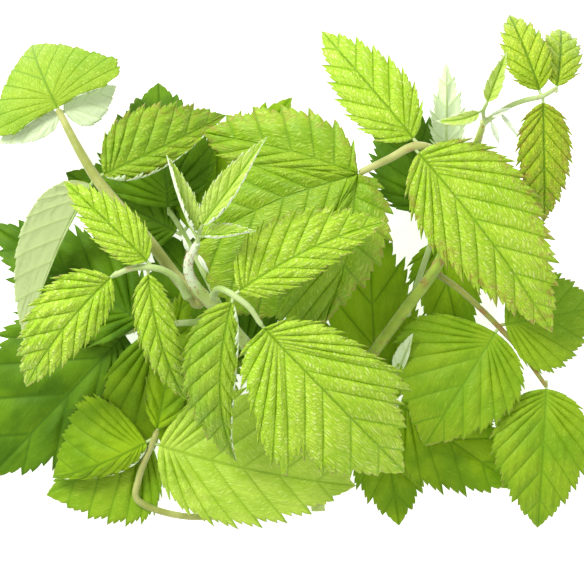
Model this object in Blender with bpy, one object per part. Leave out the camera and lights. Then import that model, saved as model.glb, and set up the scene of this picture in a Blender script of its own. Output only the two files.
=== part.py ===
"""A cut raspberry branch lying on a flat surface, leaves uppermost.

The cane forks near its cut end into a main shoot and a side shoot. Each leaf is
a stalk that carries toothed, pleated leaflets: one at its end and a pair at its
joint. The youngest leaf, at the tip of the main shoot, is still folded. The end
leaflet of the big leaf is divided into three lobes.

Frame: +Z up. The origin is on the surface, under the middle of the branch.
Sizes and places in the tables are millimetres; meshes are built in metres.
"""

import math
from dataclasses import dataclass

import bmesh
import bpy
from mathutils import Matrix, Vector

MM = 0.001
CENTRE = Vector((0.9, 7.56, 0.0))  # middle of the branch in the frame of the tables

# Leaf blades
BLADE_THICK = 0.8
PIECE_GAP = 0.7  # clear space between a leaflet and the stalk that carries it
PETIOLULE = 1.1  # length of a leaflet's own short stalk
PETIOLULE_HALF = 0.6
BASE_ROUND = 0.55  # exponent of the outline at the base: under 1 is rounded
TIP_TAPER = 1.05  # exponent of the outline at the tip: over 1 is drawn out
WIDEST = BASE_ROUND / (BASE_ROUND + TIP_TAPER)
VEIN_SPREAD = math.radians(46)  # angle between the midrib and a side vein
BASAL_VEINS = 0.10  # how fast the feet of the lowest veins leave the base
TOOTH_SHARE = 0.30  # depth of a tooth, as a share of the vein spacing
PLEAT_SHARE = 0.15  # height of the bulge between two veins, likewise
ACROSS = (0.0, 0.5, 1.0)  # places across half a blade, midrib to margin
PLEAT_ACROSS = (0.0, 1.0, 0.45)  # height of the bulge at those places

# Canes and stalks
CANE_SIDES = 10
SIDE_CANE_SIDES = 8
STALK_SIDES = 6
CANE_PRICKLES = 44
SIDE_PRICKLES = 18
PRICKLE_INSET = 0.42
PRICKLE_LENGTH = 1.3
GOLDEN_ANGLE = math.pi * (3 - math.sqrt(5))

LEAF_GREEN = (0.30, 0.58, 0.04, 1)
SHADE_GREEN = (0.13, 0.34, 0.02, 1)
CANE_GREEN = (0.45, 0.60, 0.20, 1)


@dataclass
class Leaflet:
    """One blade. Angles are degrees and lengths are millimetres."""

    name: str
    tip: tuple
    left: float  # half-widths, seen from above with the tip ahead
    right: float
    veins: int = 8  # side veins on each half
    rise: float = 4.0  # arch of the midrib above its chord
    sway: float = 0.0  # bend of the midrib to the left of its chord
    roll: float = 0.0  # turn of the whole blade about its chord
    fold: float = 8.0  # lift of each half from the midrib
    droop: float = 0.14  # fall of the margin, as a share of the half-width
    margins: tuple = ()  # left and right margins as (share along, width) points, if not the outline


@dataclass
class Leaf:
    """A stalk's route from the cane, and the leaflets that it carries."""

    name: str
    route: list
    radii: tuple
    joint: int  # the route point that carries the pair of leaflets
    end: Leaflet
    pair: tuple
    colour: tuple = LEAF_GREEN


CANE = [
    (10.8, -90, 2.76), (10.5, -81, 2.76), (10.2, -72, 2.76), (9.7, -65, 2.9), (8.2, -57, 5.2),
    (2, -47, 10), (-10, -31, 22), (-21, -18, 34), (-31, -6, 45), (-38, 1.5, 52), (-41.2, 8.5, 57),
    (-40.2, 14.5, 61), (-37.4, 19.2, 64.5),
]
CANE_RADII = (2.9, 2.9, 2.9, 2.8, 2.8, 2.7, 2.6, 2.6, 2.9, 2.4, 2.0, 1.8, 1.3)
SIDE_CANE = [
    (12.8, -56.8, 5.7), (22, -42, 11), (33, -25, 16), (46, -7, 21), (59, 11, 26),
    (67, 32, 31), (72, 52, 36), (75, 62, 40), (77, 68.5, 44),
]
SIDE_CANE_RADII = (2.5, 2.5, 2.4, 2.4, 2.3, 2.1, 1.9, 1.5, 1.1)

# The end leaflet of the big leaf: places in plan, from its base
LOBE_TIPS = ((-62, 17), (-66, -28), (-13, -60))
LOBE_BENDS = ((-26, 9), (-33, -11), (-4, -32))  # midpoints of the three midribs
LOBE_ROWS = 12  # rows of points from the base of a lobe to its tip
LOBE_JOINED = 6  # of which this many end on the line shared with the next lobe
LOBE_HALVES = (  # the lobe, whether its first rows are shared, and its margin
    (0, False, ((0.2, 0.6), (-1.5, 11), (-7.5, 19), (-21, 25.5), (-38, 26), (-52, 23), (-62, 17))),
    (0, True, ((0, 0), (-48, 4), (-54, 7), (-58, 11), (-62, 17))),
    (1, True, ((0, 0), (-48, 4), (-55, -4), (-62, -15), (-66, -28))),
    (1, True, ((0, 0), (-33, -57), (-47, -57), (-58, -48), (-66, -28))),
    (2, True, ((0, 0), (-33, -57), (-26, -61), (-19, -63), (-13, -60))),
    (2, False, ((0.5, -0.4), (7, -2), (12.5, -13), (12.5, -26), (6.5, -39), (-3, -49), (-13, -60))),
)
LOBE_FOOT = 1.5  # how late the feet of the veins leave the base
LOBE_FALL = 0.0042  # how fast the lobes fall away from the base
LOBE_LIFT = 1.1  # height of a lobe's bulge between midrib and margin
LOBE_PLEAT = 0.7
LOBE_TOOTH = 1.3

LEAVES = [
    Leaf(
        "left_leaf",
        [
            (-42.7, 0.1, 52.2), (-45.5, 5, 56.5), (-51, 8.6, 59), (-57, 9.8, 60), (-64, 9.2, 60),
            (-70.5, 6.6, 58.5),
        ],
        (1.6, 1.2), 3,
        Leaflet("left_end_leaflet", (-107, -38.2, 34), 11, 16, veins=9, rise=7, sway=-3, roll=-6, droop=0.2),
        (
            Leaflet("left_upper_leaflet", (-90.6, 44, 56), 9.0, 10.0, veins=9, rise=4, roll=6, fold=12),
            Leaflet("left_lower_leaflet", (-42, -43.6, 36), 7.6, 8.4, veins=9, rise=7, sway=-3, droop=0.3),
        ),
    ),
    Leaf(
        "front_leaf",
        [
            (-31.2, -1.2, 50.5), (-29.5, 1.2, 56), (-26.5, 0.6, 60), (-22.6, -1.6, 61.5), (-17, -6, 62),
            (-12.3, -12.8, 60.5),
        ],
        (1.5, 1.1), 3,
        Leaflet(
            "front_end_leaflet", (45.2, -72.6, 36), 26, 33, veins=11, rise=8, fold=3, droop=0.16,
            margins=(
                ((0.05, 10), (0.17, 18), (0.31, 21.5), (0.43, 23.5), (0.58, 26.5), (0.70, 24.5), (0.655, 18.5),
                 (0.75, 16.5), (0.85, 8.5)),
                ((0.0, 10), (0.05, 17), (0.13, 21.5), (0.29, 28.5), (0.38, 33), (0.575, 35), (0.53, 23),
                 (0.70, 23), (0.84, 12)),
            ),
        ),
        (
            Leaflet("front_upper_leaflet", (38.0, 28, 50), 17, 10.5, veins=10, rise=5, sway=3, roll=-3, fold=8),
            Leaflet("front_lower_leaflet", (-22.4, -68, 33), 7.5, 15, veins=10, rise=9, sway=-5, roll=4, droop=0.25),
        ),
    ),
    Leaf(
        "rear_leaf",
        [
            (-39.2, -1.8, 45.6), (-47, 7, 44.5), (-57.6, 21, 44), (-69, 34, 43), (-78.4, 45.4, 41),
            (-86, 58, 40), (-93.6, 72.5, 37),
        ],
        (2.3, 1.4), 4,
        Leaflet(
            "rear_end_leaflet", (-106, 101, 12), 26, 20, veins=8, rise=5, roll=-8, fold=2,
            margins=(
                ((-0.10, 6), (-0.26, 13), (-0.34, 21), (-0.12, 27), (0.22, 25), (0.6, 15)),
                ((-0.08, 5), (-0.2, 12), (-0.24, 19), (-0.14, 26), (0.14, 27), (0.5, 17)),
            ),
        ),
        (
            Leaflet("rear_upper_leaflet", (-27, 72, 16), 18, 9.5, veins=9, rise=4, roll=8, fold=4),
            Leaflet("rear_lower_leaflet", (-107, -17.6, 18), 17, 10, veins=9, rise=4, roll=132, fold=48, droop=0.05),
        ),
    ),
    Leaf(
        "big_leaf",
        [(68.6, 51.2, 34.6), (60, 56, 37.5), (49.6, 58.6, 42), (39, 53.4, 43), (28.0, 48.2, 42)],
        (1.7, 1.4), 2,
        Leaflet("big_end_leaflet", (-38, 20, 28), 0, 0),
        (
            Leaflet("big_upper_leaflet", (12, 106, 20), 14, 14, veins=8, rise=6, fold=8),
            Leaflet("big_lower_leaflet", (105.4, -16.4, 25), 26, 20, veins=11, rise=6, sway=1.9, fold=5, droop=0.16),
        ),
    ),
    Leaf(
        "top_leaf",
        [(78.4, 68.9, 44.1), (86.5, 74, 49), (93, 76.5, 50), (99.6, 78, 50), (105, 81, 49)],
        (1.1, 0.9), 3,
        Leaflet("top_end_leaflet", (109.5, 107, 14), 8.5, 8.5, veins=7, rise=5, fold=8),
        (
            Leaflet("top_upper_leaflet", (88, 112, 26), 9, 9, veins=7, rise=6, fold=8),
            Leaflet("top_lower_leaflet", (102.2, 28.6, 22), 10.8, 10.8, veins=9, rise=5, fold=8),
        ),
    ),
    Leaf(
        "bud_leaf",
        [(76.7, 69.4, 44.9), (76.4, 72.4, 49.4), (77.4, 74.8, 52)],
        (0.8, 0.7), 1,
        Leaflet("bud_upper_leaflet", (85, 95, 62), 4, 4, veins=5, rise=0, fold=35, droop=0.0),
        (Leaflet("bud_left_leaflet", (57.2, 68, 53), 2.8, 2.8, veins=6, rise=2, sway=1.5, fold=35, droop=0.0),),
    ),
    Leaf(
        "low_leaf",
        [
            (7.0, -84, 3.2), (-16, -90, 5), (-42, -92, 9), (-62, -86, 11), (-62.5, -76, 14), (-56.5, -61, 21),
            (-55, -57, 22),
        ],
        (1.4, 1.1), 5,
        Leaflet("low_end_leaflet", (-43, 5, 15), 7.5, 10, veins=7, rise=1.6, roll=-6),
        (
            Leaflet("low_left_leaflet", (-98, -76, 8), 9, 26, veins=8, rise=5, roll=-18, fold=-18),
            Leaflet("low_right_leaflet", (26, -79, 15), 22, 20, veins=9, rise=4, sway=-2, fold=5),
        ),
    ),
    Leaf(
        "right_leaf",
        [(59.3, 7.1, 23.4), (68, 1, 20), (77, -7, 18), (84.5, -14.5, 17), (94, -25, 15), (103.4, -38, 13)],
        (1.2, 0.9), 3,
        Leaflet("right_end_leaflet", (101, -97, 1.0), 19, 21, veins=9, rise=6),
        (
            Leaflet("right_inner_leaflet", (54, -63, 12), 22, 33, veins=9, rise=4, fold=3, droop=0.1),
            Leaflet("right_outer_leaflet", (126, -6, 6), 20, 22, veins=8, rise=4, fold=4),
        ),
    ),
    Leaf(
        "left_shade_leaf",
        [(-28.6, -10.6, 37), (-38, -12, 30), (-50, -13, 22), (-60, -14, 18), (-67, -16.5, 14.5)],
        (1.3, 1.0), 3,
        Leaflet("left_shade_end_leaflet", (-124, -76, 1.0), 24, 30, veins=7, rise=1),
        (
            Leaflet("left_shade_lower_leaflet", (-33, -68, 6), 31, 28, veins=7, rise=1, roll=-10, fold=1),
            Leaflet("left_shade_upper_leaflet", (-124, 28, 4), 22, 20, veins=7, rise=1, roll=7, fold=6),
        ),
        colour=SHADE_GREEN,
    ),
    Leaf(
        "back_shade_leaf",
        [(-19.4, -22.4, 27.4), (-27, -10, 18.5), (-36, 8, 13), (-45, 25, 11.5), (-50, 33, 14.5)],
        (1.3, 1.0), 3,
        Leaflet("back_shade_end_leaflet", (-55, 86, 0.7), 23, 20, veins=7, rise=5),
        (
            Leaflet("back_shade_left_leaflet", (-93, 49, 1.5), 17, 7, veins=7, rise=0.5, roll=3),
            Leaflet("back_shade_right_leaflet", (0, 80, 3), 18, 18, veins=7, rise=1, roll=-12),
        ),
        colour=SHADE_GREEN,
    ),
    Leaf(
        "front_shade_leaf",
        [(14.6, -73, 3), (22, -64, 4), (29, -56, 5), (36, -49, 6), (42.5, -46, 6.5)],
        (1.2, 1.0), 3,
        Leaflet("front_shade_end_leaflet", (92, -80, 2), 20, 22, veins=7, rise=1, roll=-7),
        (
            Leaflet("front_shade_left_leaflet", (31, 34, 3), 17, 20, veins=7, rise=0.5),
            Leaflet("front_shade_right_leaflet", (44, -96, 0.8), 17, 17, veins=7, rise=0.5, roll=-9),
        ),
        colour=SHADE_GREEN,
    ),
    Leaf(
        "side_shade_leaf",
        [(47.5, -6.5, 17.4), (50.5, 2, 15.8), (54, 12, 15.2), (57, 22, 14), (57.5, 31, 14)],
        (1.2, 1.0), 3,
        Leaflet("side_shade_end_leaflet", (41, 79, 0.7), 19, 17, veins=7, rise=4, roll=8),
        (
            Leaflet("side_shade_lower_leaflet", (70, -24, 5), 14, 15, veins=6, rise=-2, fold=-3, roll=12),
        ),
        colour=SHADE_GREEN,
    ),
    Leaf(
        "under_leaf",
        [(-5.9, -40.6, 13.2), (-9, -38, 9), (-11.5, -34, 5.4), (-14.5, -28.5, 3.4)],
        (1.2, 1.0), 1,
        Leaflet("under_end_leaflet", (-55, 26, 1.0), 15, 24, veins=7, rise=0.2, fold=-1, droop=0.03),
        (),
        colour=SHADE_GREEN,
    ),
    Leaf(
        "pale_leaf",
        [(67.4, 45, 33.0), (64.5, 50, 31), (62.5, 55, 29)],
        (1.1, 0.9), 1,
        Leaflet("pale_end_leaflet", (63, 94, 10), 7, 7, veins=6, rise=2, roll=170, fold=20, droop=0.05),
        (),
    ),
    Leaf(
        "tip_leaf",
        [(-37.3, 19.9, 65.1), (-36.7, 22.8, 67.2), (-35.9, 25.2, 69)],
        (0.9, 0.8), 1,
        Leaflet("tip_end_leaflet", (-9.8, 60.6, 84), 6.5, 6.5, veins=7, rise=-1, roll=-20, fold=48, droop=0.0),
        (
            Leaflet("tip_left_leaflet", (-49, 53.6, 78), 6, 6, veins=6, rise=-2, roll=30, fold=60, droop=0.0),
            Leaflet("tip_right_leaflet", (-14.2, 24, 74), 5, 5, veins=6, rise=-1, roll=-20, fold=56, droop=0.0),
        ),
    ),
]


def outline(along):
    """Half-width of a blade at this place along it, as a share of its widest."""
    rising = (along / WIDEST) ** BASE_ROUND
    falling = ((1 - along) / (1 - WIDEST)) ** TIP_TAPER
    return rising * falling


def smooth_route(points, steps):
    """Points of a Catmull-Rom curve through these, with this many steps in each span."""
    line = [Vector(p) for p in points]
    line = [2 * line[0] - line[1], *line, 2 * line[-1] - line[-2]]
    route = []
    for i in range(1, len(line) - 2):
        a, b, c, d = line[i - 1 : i + 3]
        for step in range(steps):
            t = step / steps
            route.append(
                0.5 * (2 * b + (c - a) * t + (2 * a - 5 * b + 4 * c - d) * t**2 + (3 * b - a - 3 * c + d) * t**3)
            )
    return [*route, line[-2]]


def spread(points, share):
    """The point this share of the way along a line of points, by length."""
    spans = [(b - a).length for a, b in zip(points, points[1:])]
    left = share * sum(spans)
    for i, span in enumerate(spans):
        if left <= span or i == len(spans) - 1:
            return points[i].lerp(points[i + 1], min(1, left / span))
        left -= span


def along_values(values, count):
    """These values, spread evenly and read at this many places."""
    read = []
    for i in range(count):
        place = i / (count - 1) * (len(values) - 1)
        low = min(int(place), len(values) - 2)
        read.append(values[low] + (values[low + 1] - values[low]) * (place - low))
    return read


def add_object(name, bm, colour):
    """Makes the mesh, which is in millimetres, a named object in metres."""
    bmesh.ops.recalc_face_normals(bm, faces=bm.faces)
    bm.transform(Matrix.Scale(MM, 4) @ Matrix.Translation(-CENTRE))
    mesh = bpy.data.meshes.new(name)
    bm.to_mesh(mesh)
    bm.free()
    material = bpy.data.materials.new(name)
    material.use_nodes = True
    shader = material.node_tree.nodes["Principled BSDF"]
    shader.inputs["Base Color"].default_value = colour
    shader.inputs["Roughness"].default_value = 0.55
    shader.inputs["Metallic"].default_value = 0.0
    mesh.materials.append(material)
    made = bpy.data.objects.new(name, mesh)
    bpy.context.scene.collection.objects.link(made)
    return made


def add_prickles(bm, walls, count):
    """Raises small four-sided prickles from wall faces, spread evenly along the cane."""
    faces = [walls[int(i * len(walls) / count)] for i in range(count)]
    bmesh.ops.inset_individual(bm, faces=faces, thickness=PRICKLE_INSET)
    bmesh.ops.poke(bm, faces=faces, offset=PRICKLE_LENGTH)


def add_stem(name, points, radii, sides, steps, prickles=0):
    """A round stem along a smooth route, with flat ends. One of its facets faces straight down."""
    route = smooth_route(points, steps)
    radii = along_values(radii, len(route))
    bm = bmesh.new()
    rings = []
    for i, point in enumerate(route):
        ahead = (route[min(i + 1, len(route) - 1)] - route[max(i - 1, 0)]).normalized()
        across = ahead.cross(Vector((0, 0, 1))).normalized()
        over = across.cross(ahead).normalized()
        ring = []
        for side in range(sides):
            angle = 2 * math.pi * (side + 0.5) / sides
            ring.append(bm.verts.new(point + radii[i] * (over * -math.cos(angle) + across * math.sin(angle))))
        rings.append(ring)
    walls = []
    for i in range(len(rings) - 1):
        turn = int(i * sides * GOLDEN_ANGLE / (2 * math.pi))
        for side in range(sides):
            a = (side + turn) % sides
            b = (a + 1) % sides
            walls.append(bm.faces.new((rings[i][a], rings[i][b], rings[i + 1][b], rings[i + 1][a])))
    bm.faces.new(rings[0])
    bm.faces.new(rings[-1])
    bmesh.ops.recalc_face_normals(bm, faces=bm.faces)
    if prickles:
        add_prickles(bm, walls[3 * sides * steps :], prickles)
    return add_object(name, bm, CANE_GREEN)


class Midrib:
    """The line of a leaflet's midrib, from where its own stalk starts to its tip."""

    def __init__(self, leaflet, start):
        self.leaflet = leaflet
        self.start = start
        self.chord = Vector(leaflet.tip) - start
        self.length = self.chord.length
        ahead = self.chord.normalized()
        side = Vector((0, 0, 1)).cross(ahead).normalized()
        self.side = Matrix.Rotation(math.radians(leaflet.roll), 3, ahead) @ side
        self.up = ahead.cross(self.side)

    def at(self, along):
        """Place, and directions left, up and ahead, at this share of the length."""
        arch = 4 * along * (1 - along)
        lean = 4 * (1 - 2 * along)
        shape = self.up * self.leaflet.rise + self.side * self.leaflet.sway
        ahead = (self.chord + shape * lean).normalized()
        left = (self.side - ahead * ahead.dot(self.side)).normalized()
        return self.start + self.chord * along + shape * arch, left, ahead.cross(left), ahead


def margin(leaflet, side, row):
    """Share along and width of the margin where this row of points meets it, without teeth."""
    if leaflet.margins:
        route = leaflet.margins[0 if side > 0 else 1]
        scale = Vector((Vector(leaflet.tip).length, 1))
        points = [Vector(p) for p in ((0, 0.6), *route, (1, 0))]
        scaled = [Vector((p.x * scale.x, p.y)) for p in points]
        found = spread(scaled, row)
        return found.x / scale.x, found.y
    return row, (leaflet.left if side > 0 else leaflet.right) * outline(row)


def blade_point(leaflet, midrib, side, along, width):
    """A point of the blade, at this share along it and this far from its midrib."""
    place, left, up, _ = midrib.at(along)
    angle = math.radians(leaflet.fold)
    full = max(1, leaflet.left if side > 0 else leaflet.right)
    lift = width * math.sin(angle) - leaflet.droop * width * width / full
    return place + left * side * width * math.cos(angle) + up * lift, up


def leaflet_rows(leaflet, midrib):
    """Rows of points for each half: the leaflet's own stalk, then one on each vein and between veins."""
    stalk = PETIOLULE / midrib.length
    spacing = (midrib.length - PETIOLULE) / leaflet.veins
    count = 2 * leaflet.veins
    halves = {}
    for side in (1, -1):
        halves[side] = []
        for along in (0, stalk):
            place, left, _, _ = midrib.at(along)
            halves[side].append([place + left * side * PETIOLULE_HALF * across for across in ACROSS])
    foot = 0
    for k in range(1, count):
        row = k / count
        ends = {side: margin(leaflet, side, row) for side in (1, -1)}
        slant = sum(s - w / math.tan(VEIN_SPREAD) / midrib.length for s, w in ends.values()) / 2
        foot = max(foot + 0.2 / count, BASAL_VEINS * row, slant)
        taper = min(1, 4 * (1 - row))
        tooth = (0.5 if k % 2 == 0 else -0.5) * TOOTH_SHARE * spacing * taper
        bulge = 0 if k % 2 == 0 else PLEAT_SHARE * spacing * taper
        for side in (1, -1):
            reach, width = ends[side]
            vein = Vector(((reach - foot) * midrib.length, width))
            longer = 1 + tooth / vein.length
            points = []
            for across, pleat in zip(ACROSS, PLEAT_ACROSS):
                share = across * (longer if across == 1 else 1)
                along = foot + (reach - foot) * share
                place, up = blade_point(leaflet, midrib, side, stalk + along * (1 - stalk), width * share)
                points.append(place + up * bulge * pleat)
            halves[side].append(points)
    tip = midrib.at(1)[0]
    return [(halves[side] + [[tip] * 3], side) for side in (1, -1)]


def lobed_height(place):
    """Height of the lobed leaflet over its base, in plan."""
    away = place.length
    return 0.05 * away - LOBE_FALL * away * away


def lobed_rows(start):
    """Rows of points for each of the six halves of the three lobes."""
    halves = []
    for number, (lobe, joined, route) in enumerate(LOBE_HALVES):
        tip = Vector(LOBE_TIPS[lobe])
        midrib = ((0, 0, 0), (*LOBE_BENDS[lobe], 0), (*LOBE_TIPS[lobe], 0))
        midline = [p.to_2d() for p in smooth_route(midrib, 4)]
        edge = [Vector(p) for p in route]
        rows = []
        for k in range(LOBE_ROWS + 1):
            foot = spread(midline, (k / LOBE_ROWS) ** LOBE_FOOT)
            if k == LOBE_ROWS:
                reach = tip
            elif not joined:
                reach = spread(edge, k / LOBE_ROWS)
            elif k <= LOBE_JOINED:
                reach = edge[0].lerp(edge[1], k / LOBE_JOINED)
            else:
                reach = spread(edge[1:], (k - LOBE_JOINED) / (LOBE_ROWS - LOBE_JOINED))
            shared = joined and k <= LOBE_JOINED
            if 0 < k < LOBE_ROWS and not shared:
                reach = reach + (reach - foot).normalized() * LOBE_TOOTH * (0.5 if k % 2 == 0 else -0.5)
            points = []
            for across in ACROSS:
                place = foot.lerp(reach, across)
                height = lobed_height(place)
                if 0 < k < LOBE_ROWS and across > 0:
                    height += LOBE_LIFT if across < 1 or shared else 0
                    height += LOBE_PLEAT if k % 2 == 1 and across < 1 else 0
                points.append(start + Vector((place.x, place.y, height)))
            rows.append(points)
        if not joined:
            side = 1 if number == 0 else -1
            away = Vector((1.0, 0.45, 0)) * PETIOLULE
            stalk_row = [start + away + Vector((0, side * PETIOLULE_HALF * across, 0)) for across in ACROSS]
            rows.insert(0, stalk_row)
        halves.append((rows, 1 if number % 2 == 0 else -1))
    return halves


def add_blade(name, halves, colour):
    """Joins the rows of each half with triangles, welds the halves, and thickens the sheet."""
    bm = bmesh.new()
    made = {}

    def vert(point):
        key = tuple(round(value, 3) for value in point)
        if key not in made:
            made[key] = bm.verts.new(point)
        return made[key]

    for rows, side in halves:
        for near, far in zip(rows, rows[1:]):
            for i in range(len(ACROSS) - 1):
                a, b, c, d = vert(near[i]), vert(near[i + 1]), vert(far[i + 1]), vert(far[i])
                for corners in ((a, b, c), (a, c, d)):
                    if len(set(corners)) == 3:
                        bm.faces.new(corners[::-1] if side > 0 else corners)
    leaflet = add_object(name, bm, colour)
    solidify = leaflet.modifiers.new("thickness", "SOLIDIFY")
    solidify.thickness = BLADE_THICK * MM
    solidify.offset = 0


def add_leaf(leaf):
    """A leaf's stalk and its leaflets, each set clear of the stalk."""
    add_stem(f"{leaf.name}_stalk", leaf.route, leaf.radii, STALK_SIDES, 2)
    end = Vector(leaf.route[-1])
    heading = (end - Vector(leaf.route[-2])).normalized()
    if leaf.end.left:
        midrib = Midrib(leaf.end, end + heading * PIECE_GAP)
        add_blade(leaf.end.name, leaflet_rows(leaf.end, midrib), leaf.colour)
    else:
        base = end + heading * PIECE_GAP - Vector((1.0, 0.45, 0)) * PETIOLULE
        add_blade(leaf.end.name, lobed_rows(base), leaf.colour)
    joint = Vector(leaf.route[leaf.joint])
    ahead = (Vector(leaf.route[leaf.joint + 1]) - Vector(leaf.route[leaf.joint - 1])).normalized()
    radius = leaf.radii[0] + (leaf.radii[1] - leaf.radii[0]) * leaf.joint / (len(leaf.route) - 1)
    for leaflet in leaf.pair:
        outward = Vector(leaflet.tip) - joint
        outward -= ahead * outward.dot(ahead)
        outward = outward.normalized() + Vector((0, 0, 0.4))
        outward = (outward - ahead * outward.dot(ahead)).normalized()
        midrib = Midrib(leaflet, joint + outward * (radius + PIECE_GAP))
        add_blade(leaflet.name, leaflet_rows(leaflet, midrib), leaf.colour)


def main():
    for old in list(bpy.data.objects):
        bpy.data.objects.remove(old)
    add_stem("cane", CANE, CANE_RADII, CANE_SIDES, 3, CANE_PRICKLES)
    add_stem("side_cane", SIDE_CANE, SIDE_CANE_RADII, SIDE_CANE_SIDES, 3, SIDE_PRICKLES)
    for leaf in LEAVES:
        add_leaf(leaf)


main()
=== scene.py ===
"""A cut raspberry branch, lying with its leaves uppermost and seen from straight above.

Routes and sizes are millimetres in a plan whose middle is the middle of the picture, and
each piece is moved to the frame's own place and made metres when its points are set.
"""

import math

import bpy
import numpy as np
from mathutils import Matrix, Vector, noise


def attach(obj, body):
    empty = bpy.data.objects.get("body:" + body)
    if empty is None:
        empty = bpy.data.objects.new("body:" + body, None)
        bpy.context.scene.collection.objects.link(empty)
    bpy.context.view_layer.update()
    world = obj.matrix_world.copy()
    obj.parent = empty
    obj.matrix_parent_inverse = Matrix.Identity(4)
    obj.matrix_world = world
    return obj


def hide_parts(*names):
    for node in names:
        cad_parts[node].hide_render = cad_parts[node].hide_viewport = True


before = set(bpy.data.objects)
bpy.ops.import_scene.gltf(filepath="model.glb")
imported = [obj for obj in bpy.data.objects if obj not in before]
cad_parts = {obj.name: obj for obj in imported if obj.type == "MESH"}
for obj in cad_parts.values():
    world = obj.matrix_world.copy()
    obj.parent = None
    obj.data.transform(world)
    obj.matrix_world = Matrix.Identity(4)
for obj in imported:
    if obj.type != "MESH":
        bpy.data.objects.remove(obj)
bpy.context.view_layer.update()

# The main cane is a green shoot of this year, cut through at its lower end. It is a round stem
# rolled from a grid of faces, and it thins towards the shoot tip, where white down covers it.
PLAN_MIDDLE = np.array((0.9, 7.56, 0.0))
CANE_ROUTE = (
    (10.8, -90, 2.76), (10.5, -81, 2.76), (10.2, -72, 2.76), (9.7, -65, 2.9), (8.2, -57, 5.2),
    (2, -47, 10), (-10, -31, 22), (-21, -18, 34), (-31, -6, 45), (-38, 1.5, 52), (-41.2, 8.5, 57),
    (-40.2, 14.5, 61), (-37.4, 19.2, 64.5),
)
CANE_RADII = (2.8, 2.8, 2.8, 2.75, 2.7, 2.6, 2.5, 2.5, 2.7, 2.3, 1.9, 1.7, 1.2)


def smooth_route(points, steps):
    """Points of a Catmull-Rom curve through these, with this many steps in each span."""
    line = [Vector(p) for p in points]
    line = [2 * line[0] - line[1], *line, 2 * line[-1] - line[-2]]
    route = []
    for i in range(1, len(line) - 2):
        a, b, c, d = line[i - 1 : i + 3]
        for step in range(steps):
            t = step / steps
            bend = (2 * a - 5 * b + 4 * c - d) * t**2 + (3 * b - a - 3 * c + d) * t**3
            route.append(0.5 * (2 * b + (c - a) * t + bend))
    return [*route, line[-2]]


def new_grid(name, columns, rows):
    """A flat grid, and for each of its points the place across, from -1 to 1, and the row."""
    bpy.ops.object.select_all(action="DESELECT")
    bpy.ops.mesh.primitive_grid_add(x_subdivisions=columns, y_subdivisions=rows, size=2)
    piece = bpy.context.object
    piece.name = piece.data.name = name
    flat = np.empty(len(piece.data.vertices) * 3)
    piece.data.vertices.foreach_get("co", flat)
    flat = flat.reshape(-1, 3)
    return piece, flat[:, 0], np.rint((flat[:, 1] + 1) / 2 * rows).astype(int)


def set_points(piece, points):
    """Sets a piece's points from the plan's millimetres, above the table, and closes its seams."""
    points[:, 2] = np.maximum(points[:, 2], 0)
    piece.data.vertices.foreach_set("co", ((points - PLAN_MIDDLE) * 0.001).ravel())
    bpy.ops.object.mode_set(mode="EDIT")
    bpy.ops.mesh.select_all(action="SELECT")
    bpy.ops.mesh.remove_doubles(threshold=0.000002)
    bpy.ops.object.mode_set(mode="OBJECT")
    bpy.ops.object.shade_smooth()


def set_attribute(piece, name, values):
    piece.data.attributes.new(name, "FLOAT", "POINT").data.foreach_set("value", values)


def round_stem(name, route, radii, sides, steps, cut=False):
    """A round stem along a route. Its ends are rounded, or the first is cut flat."""
    line = smooth_route(route, steps)
    places = np.linspace(0, len(radii) - 1, len(line))
    girth = np.interp(places, range(len(radii)), radii)
    rings = []
    for i, point in enumerate(line):
        ahead = (line[min(i + 1, len(line) - 1)] - line[max(i - 1, 0)]).normalized()
        rings.append((point, ahead, girth[i]))
    first, last = rings[0], rings[-1]
    for turn in (0.3, 0.6, 0.8, 0.93, 1.0):
        back = 0 if cut else math.sin(turn * math.pi / 2)
        draw = 1 - turn if cut else math.cos(turn * math.pi / 2)
        rings.insert(0, (first[0] - first[1] * first[2] * back, first[1], first[2] * draw))
        out, draw = math.sin(turn * math.pi / 2), math.cos(turn * math.pi / 2)
        rings.append((last[0] + last[1] * last[2] * out, last[1], last[2] * draw))
    piece, across, row = new_grid(name, sides, len(rings) - 1)
    middle = np.array([ring[0] for ring in rings])
    side = np.array([ring[1].cross(Vector((0, 0, 1))).normalized() for ring in rings])
    over = np.array([Vector(s).cross(ring[1]) for s, ring in zip(side, rings)])
    size = np.array([ring[2] for ring in rings])
    angle = across * math.pi
    ribbed = size[row] * (1 + 0.025 * np.cos(5 * angle + 0.12 * row))
    points = middle[row] + side[row] * (ribbed * np.sin(angle))[:, None]
    points += over[row] * (ribbed * np.cos(angle))[:, None]
    set_points(piece, points)
    return piece


def wire(tree, kind, *inputs, **settings):
    """Adds a shader node, with its inputs in order: a number or colour is set, a socket is linked."""
    node = tree.nodes.new("ShaderNode" + kind)
    for key, value in settings.items():
        setattr(node, key, value)
    for socket, value in zip(node.inputs, inputs):
        if isinstance(value, bpy.types.NodeSocket):
            tree.links.new(value, socket)
        elif value is not None:
            socket.default_value = value
    return node


def new_finish(name, roughness):
    """A material with its shader's own roughness set, and the node tree to dress it with."""
    finish = bpy.data.materials.new(name)
    finish.use_nodes = True
    shader = finish.node_tree.nodes["Principled BSDF"]
    shader.inputs["Roughness"].default_value = roughness
    return finish, finish.node_tree, shader


def blend_colour(tree, share, first, second):
    """A mix of two colours, each a colour or a socket."""
    node = tree.nodes.new("ShaderNodeMix")
    node.data_type = "RGBA"
    for socket, value in ((node.inputs[0], share), (node.inputs[6], first), (node.inputs[7], second)):
        if isinstance(value, bpy.types.NodeSocket):
            tree.links.new(value, socket)
        else:
            socket.default_value = value
    return node.outputs[2]


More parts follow.
